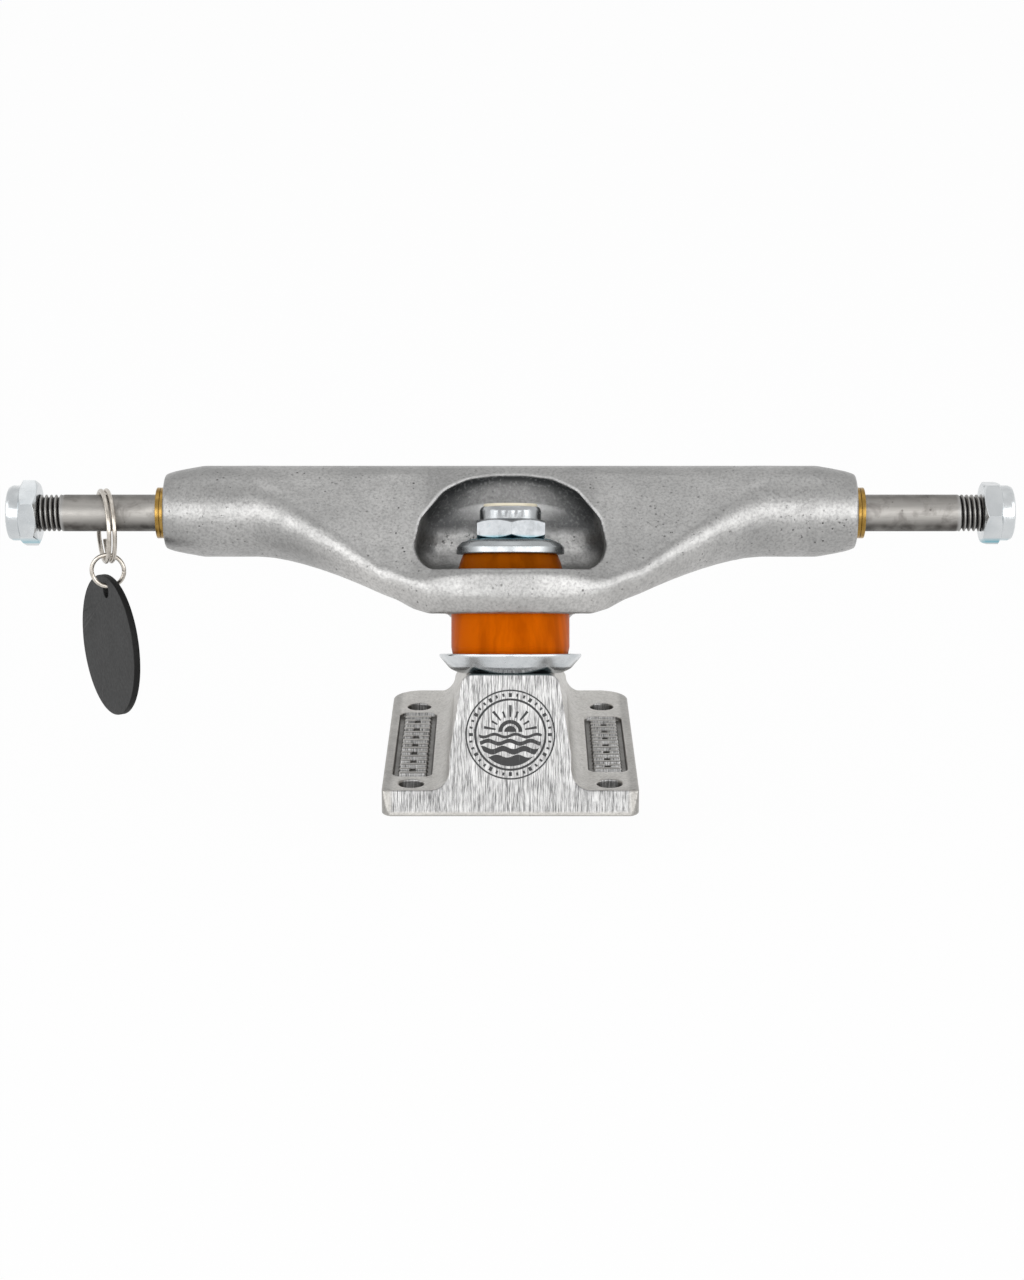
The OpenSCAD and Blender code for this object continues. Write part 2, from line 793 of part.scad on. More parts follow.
module axle_nut_left() axle_nut(-1, nut_left_turn);
module axle_nut_right() axle_nut(1, nut_right_turn);
module axle_nut_left_insert() axle_nut_insert(-1);
module axle_nut_right_insert() axle_nut_insert(1);

// Two turns of one wire, each end lying beside the ramp from turn to turn
split_start = 36;
split_end = 684;
split_ramp = 60;
split_steps = 72;
wire_sides = 8;

function split_point(turn, around) =
    let (r = split_mid_r + split_wire / 2 * cos(around),
        a = split_pitch * (ease((turn - 360) / split_ramp + 0.5) - 0.5) + split_wire / 2 * sin(around))
    [a, r * cos(turn), r * sin(turn)];

module split_ring()
    color(steel)
    at_tag(split_drop)
    rotate([0, 0, split_turn]) {
        n = wire_sides;
        polyhedron(
            points = [for (i = [0 : split_steps], k = [0 : n - 1])
                split_point(mix(split_start, split_end, i / split_steps), 360 * k / n)],
            faces = concat(
                [[for (k = [n - 1 : -1 : 0]) k]],
                [[for (k = [0 : n - 1]) split_steps * n + k]],
                [for (i = [0 : split_steps - 1], k = [0 : n - 1])
                    let (a = i * n + k, b = i * n + (k + 1) % n)
                    each [[a, b + n, a + n], [a, b, b + n]]]));
    }

jump_closed = 357;

// The ring is closed but for a hair's breadth at its side
module jump_ring()
    color(steel)
    at_tag(jump_low)
    rotate([90, 0, 0])
    rotate_extrude(angle = jump_closed)
    translate([jump_mid_r, 0])
    circle(jump_wire / 2);

module tag()
    color("dimgray")
    at_tag(tag_low)
    rotate([0, 0, -tag_turn])
    rotate([90, 0, 0])
    difference() {
        rod(tag_d / 2, -tag_t / 2, tag_t / 2);
        translate([0, tag_low - tag_hole_low, 0])
            rod(tag_hole_d / 2, -tag_t, tag_t);
    }

baseplate();
pivot_cup();
kingpin();
bottom_cup_washer();
bottom_bushing();
top_bushing();
top_cup_washer();
kingpin_nut();
kingpin_nut_insert();
hanger();
axle();
speed_ring_left_inner();
speed_ring_left_outer();
speed_ring_right_inner();
speed_ring_right_outer();
axle_nut_left();
axle_nut_left_insert();
axle_nut_right();
axle_nut_right_insert();
split_ring();
jump_ring();
tag();
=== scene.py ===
import math

import bpy
from mathutils import Matrix, Vector

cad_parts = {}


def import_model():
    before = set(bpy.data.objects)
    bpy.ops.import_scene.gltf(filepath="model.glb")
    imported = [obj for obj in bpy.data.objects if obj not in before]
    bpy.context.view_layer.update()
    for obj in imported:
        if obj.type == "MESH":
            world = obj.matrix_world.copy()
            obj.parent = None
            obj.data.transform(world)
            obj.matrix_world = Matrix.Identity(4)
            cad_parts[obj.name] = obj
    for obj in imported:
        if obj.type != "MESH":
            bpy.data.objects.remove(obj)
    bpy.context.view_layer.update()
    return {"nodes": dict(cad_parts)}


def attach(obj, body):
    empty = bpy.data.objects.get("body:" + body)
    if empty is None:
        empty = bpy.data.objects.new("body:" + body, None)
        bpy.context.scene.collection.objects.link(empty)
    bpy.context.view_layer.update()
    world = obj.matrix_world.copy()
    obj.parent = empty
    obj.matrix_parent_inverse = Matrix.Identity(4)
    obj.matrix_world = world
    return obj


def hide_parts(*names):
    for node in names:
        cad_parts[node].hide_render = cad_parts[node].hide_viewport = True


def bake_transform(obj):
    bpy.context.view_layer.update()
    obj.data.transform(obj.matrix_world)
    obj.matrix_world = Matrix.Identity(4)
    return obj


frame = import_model()
nodes = frame["nodes"]

MM = 0.001

# Repeated from the part's source: points in metres, single lengths in millimetres
LEAN = math.radians(16)
KINGPIN_FOOT = Vector((0, -22.3, 0)) * MM
UP = Vector((0, math.sin(LEAN), math.cos(LEAN)))
BACK = Vector((0, math.cos(LEAN), -math.sin(LEAN)))
SEAT_T = 26.6
LOW_BUSH_T = 28.1
TOP_BUSH_T = 45.5
TOP_CUP_TOP_T = 54.8
AXLE = Vector((0, 10.306, 54.213)) * MM
AXLE_HALF = 107.95
FRONT_FACE = 10.7 * math.cos(LEAN)
TAG_X = -87.6
TAG_TURN = math.radians(61)

# Directions of the frame: across the board, along it and straight up
ACROSS = (1, 0, 0)
LENGTHWISE = (0, 1, 0)
SKYWARD = (0, 0, 1)

# Points round a turned piece, and the most of an edge that one rounded corner takes
TURNED_SEGMENTS = 128
MOST_OF_AN_EDGE = 0.49

# Stage, in metres
FLOOR_Z = -0.0095
FLOOR_HALF = 30
LAMP_AIM = Vector((0, 0, 0.04))
LAMP_ARC = 0.98


def on_kingpin(x, q, t):
    """A point in metres from millimetres across, behind and up the kingpin."""
    return KINGPIN_FOOT + Vector((x, 0, 0)) * MM + BACK * (q * MM) + UP * (t * MM)


def height_up(t):
    """Distance along UP, in metres from the origin, of a height up the kingpin in millimetres."""
    return KINGPIN_FOOT.dot(UP) + t * MM


def depth_behind(q):
    """Distance along BACK, in metres from the origin, of millimetres behind the kingpin."""
    return KINGPIN_FOOT.dot(BACK) + q * MM


def unit(value):
    """A value kept between 0 and 1."""
    return min(1.0, max(0.0, value))


def shade(colour, share):
    """A colour times a share, no channel above 1."""
    return [min(1, c * share) for c in colour]


# Node material helpers
class Paint:
    """A procedural material: most methods add nodes and give back an output socket."""

    def __init__(self, name):
        self.mat = bpy.data.materials.new(name)
        self.mat.use_nodes = True
        self.tree = self.mat.node_tree
        self.tree.nodes.clear()
        out = self.tree.nodes.new("ShaderNodeOutputMaterial")
        self.shader = self.tree.nodes.new("ShaderNodeBsdfPrincipled")
        self.tree.links.new(self.shader.outputs[0], out.inputs[0])

    def add(self, kind, **props):
        node = self.tree.nodes.new("ShaderNode" + kind)
        for key, value in props.items():
            setattr(node, key, value)
        return node

    def put(self, socket, value):
        if isinstance(value, bpy.types.NodeSocket):
            self.tree.links.new(value, socket)
        else:
            socket.default_value = value

    def set(self, **values):
        """Sets the shader's own inputs, an underscore standing for a space."""
        for key, value in values.items():
            self.put(self.shader.inputs[key.replace("_", " ")], value)

    def now(self, key):
        """The socket that feeds one of the shader's inputs so far."""
        return self.shader.inputs[key].links[0].from_socket

    def place(self, scale=(1, 1, 1), lean=0.0):
        """Places on the piece in metres, scaled and leaned for a texture."""
        node = self.add("Mapping")
        self.put(node.inputs["Vector"], self.add("TexCoord").outputs["Object"])
        node.inputs["Rotation"].default_value = (lean, 0, 0)
        node.inputs["Scale"].default_value = scale
        return node.outputs[0]

    def noise(self, scale, detail=2.0, rough=0.5, at=None, warp=0.0):
        node = self.add("TexNoise")
        self.put(node.inputs["Vector"], at or self.place())
        self.put(node.inputs["Scale"], scale)
        self.put(node.inputs["Detail"], detail)
        self.put(node.inputs["Roughness"], rough)
        self.put(node.inputs["Distortion"], warp)
        return node.outputs[0]

    def math(self, op, a, b=0.0):
        node = self.add("Math", operation=op)
        self.put(node.inputs[0], a)
        self.put(node.inputs[1], b)
        return node.outputs[0]

    def times(self, first, *others):
        """The product of two or more values, such as masks."""
        product = first
        for other in others:
            product = self.math("MULTIPLY", product, other)
        return product

    def fit(self, value, low, high, to_low=0.0, to_high=1.0, smooth=False):
        """A value carried from one range to another and kept inside it."""
        node = self.add("MapRange", interpolation_type="SMOOTHSTEP" if smooth else "LINEAR")
        for i, v in enumerate((value, low, high, to_low, to_high)):
            self.put(node.inputs[i], v)
        return node.outputs[0]

    def under(self, value, limit, soft):
        """0 from a limit up, 1 at a soft width below it and under that."""
        return self.fit(value, limit, limit - soft)

    def over(self, value, limit, soft):
        """0 up to a limit, 1 at a soft width above it and beyond."""
        return self.fit(value, limit, limit + soft)

    def mix(self, fac, a, b, blend="MIX"):
        node = self.add("Mix", data_type="RGBA", blend_type=blend)
        self.put(node.inputs[0], fac)
        for i, c in ((6, a), (7, b)):
            self.put(node.inputs[i], c if isinstance(c, bpy.types.NodeSocket) else (*c, 1.0))
        return node.outputs[2]

    def vector(self, op, a, b=(0, 0, 0)):
        node = self.add("VectorMath", operation=op)
        self.put(node.inputs[0], a)
        self.put(node.inputs[1], b)
        return node

    def along(self, direction):
        """Distance along a direction, in metres from the origin."""
        place = self.add("TexCoord").outputs["Object"]
        return self.vector("DOT_PRODUCT", place, direction).outputs["Value"]

    def beside(self, direction):
        """Distance along a direction, to either side of the origin."""
        return self.math("ABSOLUTE", self.along(direction))

    def facing(self, direction):
        """1 where the surface faces a direction, -1 where it faces away from it."""
        normal = self.add("TexCoord").outputs["Normal"]
        return self.vector("DOT_PRODUCT", normal, direction).outputs["Value"]

    def bump(self, height, depth, strength=1.0, under=None):
        """A normal with relief of a depth in metres, on top of another where one is given."""
        node = self.add("Bump")
        self.put(node.inputs["Height"], height)
        self.put(node.inputs["Distance"], depth)
        self.put(node.inputs["Strength"], strength)
        if under:
            self.put(node.inputs["Normal"], under)
        return node.outputs[0]

    def pits(self, scale, share, size):
        """Round pits, 1 inside, in a share of the cells, each about size of a cell wide."""
        full_depth = size * 0.55
        cells = self.add("TexVoronoi")
        self.put(cells.inputs["Vector"], self.place())
        self.put(cells.inputs["Scale"], scale)
        inside = self.fit(cells.outputs["Distance"], size, full_depth, smooth=True)
        lot = self.add("SeparateColor")
        self.put(lot.inputs[0], cells.outputs["Color"])
        chosen = self.math("GREATER_THAN", lot.outputs[0], 1 - share)
        return self.times(inside, chosen)

    def hollow(self, reach, low=0.85, high=0.3, inside=False):
        """1 deep in the piece's own hollows or, looking from inside the solid, 1 on its edges."""
        node = self.add("AmbientOcclusion", samples=8, only_local=True, inside=inside)
        node.inputs["Distance"].default_value = reach
        return self.fit(node.outputs["AO"], low, high, smooth=True)


def cast_aluminium(name, dark, light, pitting, grain_depth):
    """Tumbled casting: cloudy grey, a sandy grain, dark pits, painted shade in hollows, and bright edges
    that are partly wear and partly painted highlight.
    """
    p = Paint(name)
    cloud = p.noise(60, 5, 0.6)
    grain = p.noise(1700, 4, 0.6)
    where = p.fit(p.noise(70, 3), 0.4, 0.62, 0.1, 1.0)
    specks = p.fit(p.noise(1150, 4, 0.7), 0.63, 0.69)
    holes = p.times(p.math("MAXIMUM", specks, p.pits(640, 0.45, 0.19)), where, pitting)
    # Painted shade: darker in the piece's own hollows, by ambient occlusion.
    painted_shade = p.times(p.hollow(0.007), 0.85)
    # Partly edge wear, partly painted highlight: lighter on the piece's convex edges.
    worn_edge_and_highlight = p.times(p.hollow(0.0007, 0.9, 0.66, inside=True), 0.5)
    tone = p.mix(p.fit(cloud, 0.36, 0.66), dark, light)
    tone = p.mix(p.fit(grain, 0.42, 0.7, 0, 0.65), tone, shade(dark, 0.6))
    tone = p.mix(painted_shade, tone, shade(dark, 0.22))
    tone = p.mix(worn_edge_and_highlight, tone, shade(light, 1.3))
    tone = p.mix(holes, tone, shade(dark, 0.2))
    height = p.math("SUBTRACT", p.times(grain, 0.7), holes)
    lumps = p.bump(p.noise(230, 3), 0.00026, 0.6)
    p.set(Base_Color=tone, Metallic=0.95,
          Roughness=p.fit(p.noise(380, 3), 0.3, 0.7, 0.32, 0.45),
          Normal=p.bump(height, grain_depth, 0.6, lumps))
    return p


def hanger_paint():
    """The casting, with painted light where it faces down, painted shade in the scoop and a painted
    highlight on the scoop's rim.
    """
    p = cast_aluminium("hanger_tumbled_aluminium", (0.34, 0.338, 0.333), (0.44, 0.436, 0.429),
                       0.9, 0.00012)
    scoop_half, scoop_floor, scoop_end = 0.0185, 0.0505, depth_behind(13.0)
    rim_half, rim_floor = 0.023, 0.0535
    yoke_half, yoke_end = 0.048, scoop_end + 0.004
    side = p.beside(ACROSS)
    height = p.along(SKYWARD)
    back = p.along(BACK)
    upward = p.facing(SKYWARD)
    inside = p.times(p.under(side, scoop_half, 0.001), p.over(height, scoop_floor, 0.002),
                     p.under(back, scoop_end, 0.0005))
    # Painted shade: dark deep in the scoop, darkest towards its top.
    scoop_shade = p.times(inside, p.hollow(0.014, 0.985, 0.78))
    scoop_shade_tone = p.mix(p.fit(height, 0.054, 0.0625), (0.17, 0.171, 0.172), (0.085, 0.087, 0.089))
    # Painted shade: near black on the scoop's downward-facing ceiling under its rim.
    brow_shade = p.times(p.fit(upward, 0.62, -0.4, smooth=True), p.fit(height, 0.055, 0.062, 0.4, 1.0), inside)
    fleck = p.times(inside, p.fit(p.noise(1500, 3), 0.53, 0.66, 0, 0.3))
    # Painted highlight: a bright line along the scoop's rim.
    rim = p.times(p.hollow(0.0009, 0.9, 0.64, inside=True), p.under(side, rim_half, 0.002),
                  p.over(height, rim_floor, 0.0025), p.math("SUBTRACT", 1.0, scoop_shade))
    # Painted light: arms and yoke lighter where they face down.
    underside_light = p.times(p.fit(upward, 0.25, -0.2, smooth=True), p.under(side, yoke_half, 0.018),
                       p.under(back, yoke_end, 0.008))
    tone = p.mix(underside_light, p.now("Base Color"), (1.3, 1.29, 1.28), "MULTIPLY")
    tone = p.mix(scoop_shade, tone, scoop_shade_tone)
    tone = p.mix(brow_shade, tone, (0.066, 0.069, 0.071))
    tone = p.mix(fleck, tone, (0.42, 0.42, 0.42))
    p.set(Base_Color=p.mix(rim, tone, (0.62, 0.618, 0.615)),
          Roughness=p.math("ADD", p.now("Roughness"), p.times(inside, 0.25)))
    return p.mat


def base_paint():
    """The casting with a brushed front darkened towards its foot, painted shade on its panels, ribs and
    rolled edges, and a painted shadow at the washer seat.
    """
    p = cast_aluminium("base_cast_aluminium", (0.49, 0.475, 0.45), (0.575, 0.56, 0.53), 0.4, 0.00005)
    edge_half, edge_top, foot_top = 0.0243, 0.0062, 0.0011
    panel_top, panel_inner, panel_outer, panel_half = 0.0050, 0.0162, 0.0251, 0.0232
    ribs_inner, ribs_outer, left_ribs_half, right_ribs_half = 0.0175, 0.0238, 0.0212, 0.0182
    seat, tower_end = height_up(SEAT_T) - 0.0005, depth_behind(14.0)
    groove_and_shade_tone = (0.12, 0.12, 0.12)
    side = p.beside(ACROSS)
    length = p.beside(LENGTHWISE)
    height = p.along(SKYWARD)
    # Painted shade: the flange's rolled edges and the foot darker.
    shaded_edges = p.times(p.over(side, edge_half, 0.0009), p.under(height, edge_top, 0.001))
    shaded_edges = p.math("MAXIMUM", shaded_edges, p.under(height, foot_top, 0.0005))
    front = p.times(p.fit(p.facing(-BACK), 0.6, 0.8, smooth=True), p.math("SUBTRACT", 1.0, shaded_edges))
    long_scratch = p.noise(1.0, 4, 0.7, p.place((4800, 400, 200), LEAN))
    short_scratch = p.noise(1.0, 3, 0.6, p.place((9000, 800, 450), LEAN))
    streak = p.math("ADD", p.times(long_scratch, 0.6), p.times(short_scratch, 0.4))
    brushed = p.mix(p.fit(streak, 0.41, 0.57), groove_and_shade_tone, (0.54, 0.537, 0.533))
    # Painted shade: the brushed face darker towards its foot.
    brushed = p.mix(p.fit(height, 0.004, 0.018, 0.1, 0.0), brushed, groove_and_shade_tone)
    # Painted shade: the sunk panels and the ribs darkened.
    sunk_panel_shade = p.times(p.under(height, panel_top, 0.0005), p.over(side, panel_inner, 0.0002),
                   p.under(side, panel_outer, 0.0002), p.under(length, panel_half, 0.0004), 0.95)
    ribs_half = p.fit(p.along(ACROSS), -0.001, 0.001, left_ribs_half, right_ribs_half)
    rib_shade = p.times(p.math("LESS_THAN", length, ribs_half), p.over(side, ribs_inner, 0.0002),
                     p.under(side, ribs_outer, 0.0002), 0.35)
    # Painted shadow: dark where the cup washer overhangs its seat.
    seat_shadow = p.times(p.over(p.along(UP), seat, 0.0003), p.under(p.along(BACK), tower_end, 0.0005))
    tone = p.mix(sunk_panel_shade, p.now("Base Color"), (0.11, 0.105, 0.097))
    tone = p.mix(rib_shade, tone, (0.12, 0.115, 0.105))
    tone = p.mix(shaded_edges, tone, (0.72, 0.72, 0.72), "MULTIPLY")
    tone = p.mix(front, tone, brushed)
    p.set(Base_Color=p.mix(seat_shadow, tone, (0.07, 0.09, 0.092)),
          Roughness=p.math("ADD", p.times(front, 0.05), p.now("Roughness")),
          Normal=p.bump(streak, 0.00008, p.times(front, 0.55), p.now("Normal")))
    return p.mat


def zinc_paint(name, dark, light, rough=0.16):
    """Zinc plate: cloudy, with bluish specks, a few pits and, at the kingpin nut's foot, a blue chromate
    tint with a painted teal reflection.
    """
    p = Paint(name)
    nut_foot = height_up(TOP_CUP_TOP_T)
    height = p.along(UP)
    # Partly blue chromate, partly painted teal reflection at the kingpin nut's foot.
    chromate_and_reflection = p.times(p.under(height, nut_foot + 0.0008, 0.0009),
                   p.over(height, nut_foot - 0.0004, 0.0003), 0.75)
    tone = p.mix(p.fit(p.noise(160, 3), 0.35, 0.7), dark, light)
    tone = p.mix(p.fit(p.noise(1300, 2), 0.66, 0.76, 0, 0.35), tone, (0.34, 0.42, 0.46))
    tone = p.mix(p.times(p.pits(700, 0.1, 0.1), 0.7), tone, (0.12, 0.14, 0.16))
    tone = p.mix(chromate_and_reflection, tone, (0.05, 0.36, 0.46))
    p.set(Base_Color=tone, Metallic=1.0,
          Roughness=p.fit(p.noise(900, 3), 0.3, 0.7, rough, rough + 0.12),
          Normal=p.bump(p.noise(500, 2), 0.00005, 0.35))
    return p


def king_nut_paint():
    """Zinc, darker on the hexagon than on the collar in painted shade."""
    p = zinc_paint("king_nut_zinc", (0.35, 0.365, 0.375), (0.44, 0.455, 0.465))
    hexagon_top = height_up(TOP_CUP_TOP_T) + 0.0043
    # Painted shade: the hexagon's faces darkened.
    hexagon_shade = p.under(p.along(UP), hexagon_top, 0.0004)
    p.set(Base_Color=p.mix(hexagon_shade, p.now("Base Color"), (0.5, 0.5, 0.505), "MULTIPLY"))
    return p


def urethane_paint(name, tone_dark, tone_light):
    """Clear-cast urethane: faint upright draw marks, a waxy gloss and a little light under the skin."""
    p = Paint(name)
    streaks = p.noise(1.0, 3, 0.55, p.place((420, 420, 2), LEAN))
    broad = p.noise(1.0, 1, 0.5, p.place((150, 150, 2), LEAN))
    marks = p.math("ADD", p.times(streaks, 0.5), p.times(broad, 0.5))
    p.set(Base_Color=p.mix(p.fit(marks, 0.43, 0.57), tone_dark, tone_light),
          Roughness=p.fit(p.noise(700, 3), 0.3, 0.7, 0.3, 0.4),
          Specular_IOR_Level=0.14, IOR=1.25, Specular_Tint=(1.0, 0.4, 0.02, 1.0),
          Subsurface_Weight=0.1, Subsurface_Radius=(0.004, 0.0012, 0.0004), Subsurface_Scale=0.6,
          Normal=p.bump(streaks, 0.00006, 0.35))
    return p.mat


def nylon_paint():
    """Cream nylon, slightly mottled."""
    p = Paint("cream_nylon")
    tone = p.mix(p.noise(500, 3), (0.62, 0.55, 0.40), (0.80, 0.74, 0.60))
    p.set(Base_Color=tone, Roughness=p.fit(p.noise(900), 0.3, 0.7, 0.4, 0.55),
          Normal=p.bump(p.noise(1200, 2), 0.00005, 0.3))
    return p.mat


def steel_paint(name, dark, light, smudge, rough):
    """Drawn steel bar: soft lengthwise streaks, dark handling smudges and a few small pits."""
    p = Paint(name)
    drawn = p.noise(1.0, 3, 0.55, p.place((60, 900, 900)))
    stain = p.noise(210, 4, 0.65, warp=0.4)
    tone = p.mix(p.fit(drawn, 0.3, 0.7), dark, light)
    tone = p.mix(p.fit(stain, 0.55, 0.72, 0, smudge), tone, (0.07, 0.06, 0.055))
    tone = p.mix(p.times(p.pits(520, 0.25, 0.16), smudge), tone, (0.03, 0.025, 0.02))
    p.set(Base_Color=tone, Metallic=1.0, Roughness=p.fit(stain, 0.3, 0.7, rough, rough + 0.16),
          Normal=p.bump(drawn, 0.00002, 0.3))
    return p


def axle_paint():
    """Steel bar with painted shade above and below, and a thread with dark roots and bright crests."""
    p = steel_paint("axle_turned_steel", (0.29, 0.28, 0.265), (0.38, 0.365, 0.345), 0.5, 0.38)
    root, crest = 0.00380, 0.00395
    # Painted shade: the bar darker on its top and underside, patchy by noise.
    upward = p.facing(SKYWARD)
    above = p.fit(upward, 0.6, 0.98, 0, 0.6, smooth=True)
    below = p.fit(upward, -0.1, -0.6, 0, 0.95, smooth=True)
    painted_shade = p.times(p.math("ADD", above, below), p.fit(p.noise(300, 3), 0.3, 0.6, 0.6, 1.0))
    plain = p.mix(painted_shade, p.now("Base Color"), (0.06, 0.055, 0.05))
    from_middle = p.vector("SUBTRACT", p.add("TexCoord").outputs["Object"], AXLE).outputs[0]
    from_axis = p.vector("MULTIPLY", from_middle, (0, 1, 1)).outputs[0]
    radius = p.vector("LENGTH", from_axis).outputs["Value"]
    cut = p.mix(p.fit(radius, root, crest, smooth=True), (0.006, 0.006, 0.007), (0.36, 0.355, 0.345))
    threaded = p.fit(p.beside(ACROSS), 0.0960, 0.0968, smooth=True)
    not_end = p.fit(p.math("ABSOLUTE", p.facing(ACROSS)), 0.85, 0.7, smooth=True)
    p.set(Base_Color=p.mix(p.times(threaded, not_end), plain, cut))
    return p.mat


def brass_paint():
    """Yellow brass with darker specks."""
    p = Paint("yellow_brass")
    tone = p.mix(p.fit(p.noise(420, 3), 0.35, 0.65), (0.265, 0.155, 0.033), (0.39, 0.245, 0.07))
    tone = p.mix(p.fit(p.noise(1900, 2), 0.62, 0.75, 0, 0.5), tone, (0.20, 0.11, 0.03))
    p.set(Base_Color=tone, Metallic=1.0, Roughness=p.fit(p.noise(800), 0.3, 0.7, 0.2, 0.36),
          Normal=p.bump(p.noise(900, 2), 0.00004, 0.35))
    return p.mat


def nickel_paint():
    """Warm nickel plate with darker specks."""
    p = Paint("warm_nickel")
    tone = p.mix(p.fit(p.noise(600, 3), 0.35, 0.65), (0.44, 0.405, 0.36), (0.62, 0.58, 0.525))
    tone = p.mix(p.fit(p.noise(1200, 2), 0.62, 0.8, 0, 0.3), tone, (0.16, 0.14, 0.11))
    p.set(Base_Color=tone, Metallic=1.0, Roughness=p.fit(p.noise(900), 0.3, 0.7, 0.24, 0.34),
          Normal=p.bump(p.noise(700, 1), 0.00001, 0.2))
    return p.mat


def tag_paint():
    """Matt dark plastic, paler on its two moulded faces than on its cut rim."""
    p = Paint("matt_tag_plastic")
    flat = p.math("ABSOLUTE", p.facing((-math.sin(TAG_TURN), -math.cos(TAG_TURN), 0)))
    rim = p.fit(flat, 0.75, 0.45, smooth=True)
    tone = p.mix(p.fit(p.noise(120, 4), 0.35, 0.65), (0.029, 0.029, 0.029), (0.036, 0.036, 0.036))
    tone = p.mix(p.fit(p.noise(2600, 2), 0.6, 0.8, 0, 0.25), tone, (0.06, 0.06, 0.06))
    tone = p.mix(rim, tone, (0.005, 0.005, 0.005))
    p.set(Base_Color=tone, Roughness=p.fit(p.noise(1500, 2), 0.3, 0.7, 0.55, 0.68),
          Specular_IOR_Level=0.2, Normal=p.bump(p.noise(2600, 2), 0.00003, 0.25))
    return p.mat


def ink_paint():
    """Black printing ink, worn along the brushed grain of the face."""
    p = Paint("black_ink")
    wear = p.noise(1.0, 3, 0.6, p.place((3000, 700, 260), LEAN))
    tone = p.mix(p.fit(wear, 0.56, 0.78, 0, 0.5), (0.012, 0.012, 0.013), (0.16, 0.16, 0.16))
    p.set(Base_Color=tone, Roughness=p.fit(wear, 0.3, 0.7, 0.42, 0.6),
          Normal=p.bump(wear, 0.00004, 0.3))
    return p.mat


ZINC = zinc_paint("bright_zinc", (0.53, 0.555, 0.57), (0.66, 0.68, 0.69)).mat
DULL_ZINC = zinc_paint("dull_zinc", (0.345, 0.365, 0.375), (0.43, 0.45, 0.46), 0.24).mat
KING_ZINC = king_nut_paint().mat
ORANGE_URETHANE = urethane_paint("orange_urethane", (0.42, 0.072, 0.0003), (0.56, 0.103, 0.0005))
# Painted shade: a darker copy of the orange urethane for the top bushing.
SHADED_URETHANE = urethane_paint("orange_urethane_painted_shade", (0.205, 0.044, 0.0003), (0.27, 0.06, 0.0005))
CUP_URETHANE = urethane_paint("cup_urethane", (0.42, 0.08, 0.0006), (0.54, 0.11, 0.001))
NYLON = nylon_paint()
BRASS = brass_paint()
NICKEL = nickel_paint()
PIN_STEEL = steel_paint("kingpin_steel", (0.42, 0.42, 0.43), (0.58, 0.58, 0.59), 0.35, 0.28).mat


def dress(name, material):
    """Gives a CAD node its material, whatever slots it came with."""
    obj = nodes[name]
    if not obj.material_slots:
        obj.data.materials.append(material)
    for slot in obj.material_slots:
        slot.material = material
    return obj


def cast_skin(name, material, voxel, passes):
    """Rounds a cast node's edges: an even fine mesh, then relaxed."""
    obj = dress(name, material)
    remesh = obj.modifiers.new("even_mesh", "REMESH")
    remesh.mode = "VOXEL"
    remesh.voxel_size = voxel
    remesh.use_smooth_shade = True
    relax = obj.modifiers.new("cast_rounding", "SMOOTH")
    relax.factor = 0.5
    relax.iterations = passes


def machined(name, material, width):
    """Breaks a machined node's sharp edges with a small bevel."""
    obj = dress(name, material)
    weld = obj.modifiers.new("joined_faces", "WELD")
    weld.merge_threshold = 1e-6
    bevel = obj.modifiers.new("broken_edges", "BEVEL")
    bevel.width = width
    bevel.segments = 3
    bevel.limit_method = "ANGLE"
    bevel.angle_limit = math.radians(25)
    bevel.use_clamp_overlap = True


# Mesh helpers
def solid(name, points, faces, material, body=None):
    """A smooth mesh piece from points in metres, riding on a body where one is named."""
    mesh = bpy.data.meshes.new(name)
    mesh.from_pydata([tuple(p) for p in points], [], faces)
    mesh.validate()
    mesh.shade_smooth()
    mesh.materials.append(material)
    obj = bpy.data.objects.new(name, mesh)
    bpy.context.scene.collection.objects.link(obj)
    if body:
        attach(obj, body)
    return obj


def ring_faces(rows, cols, rows_closed=False):
    """Quads of a tube of rows of cols points each, the cols closing on themselves."""
    faces = []
    for i in range(rows if rows_closed else rows - 1):
        for k in range(cols):
            a, b = i * cols + k, i * cols + (k + 1) % cols
            c, d = (i + 1) % rows * cols + (k + 1) % cols, (i + 1) % rows * cols + k
            faces.append((a, b, c, d))
    return faces


def capped_faces(rows, cols):
    """Quads of a tube with a flat cap on each end."""
    first_cap = tuple(range(cols - 1, -1, -1))
    last_cap = tuple((rows - 1) * cols + k for k in range(cols))
    return ring_faces(rows, cols) + [first_cap, last_cap]


def rounded(corners, radii, steps=6):
    """A closed outline with each corner turned into a bend of about the given radius."""
    out = []
    n = len(corners)
    for i, r in enumerate(radii):
        p = Vector(corners[i])
        to_last = Vector(corners[i - 1]) - p
        to_next = Vector(corners[(i + 1) % n]) - p
        if r <= 0:
            out.append(p)
            continue
        a, b = to_last.normalized(), to_next.normalized()
        half = a.angle(b) / 2
        reach = min(r / math.tan(half), to_last.length * MOST_OF_AN_EDGE, to_next.length * MOST_OF_AN_EDGE)
        start, end = p + a * reach, p + b * reach
        for k in range(steps + 1):
            u = k / steps
            out.append(start * (1 - u) ** 2 + p * (2 * u * (1 - u)) + end * u ** 2)
    return out


def turned(name, outline, base_t, material, body=None):
    """A closed outline of radius and height turned about the kingpin."""
    points = []
    for r, t in outline:
        for k in range(TURNED_SEGMENTS):
            turn = 2 * math.pi * k / TURNED_SEGMENTS
            points.append(on_kingpin(r * math.cos(turn), r * math.sin(turn), base_t + t))
    return solid(name, points, ring_faces(len(outline), TURNED_SEGMENTS, True), material, body)


# The two castings
cast_skin("baseplate", base_paint(), 0.00024, 3)
cast_skin("hanger", hanger_paint(), 0.00032, 10)

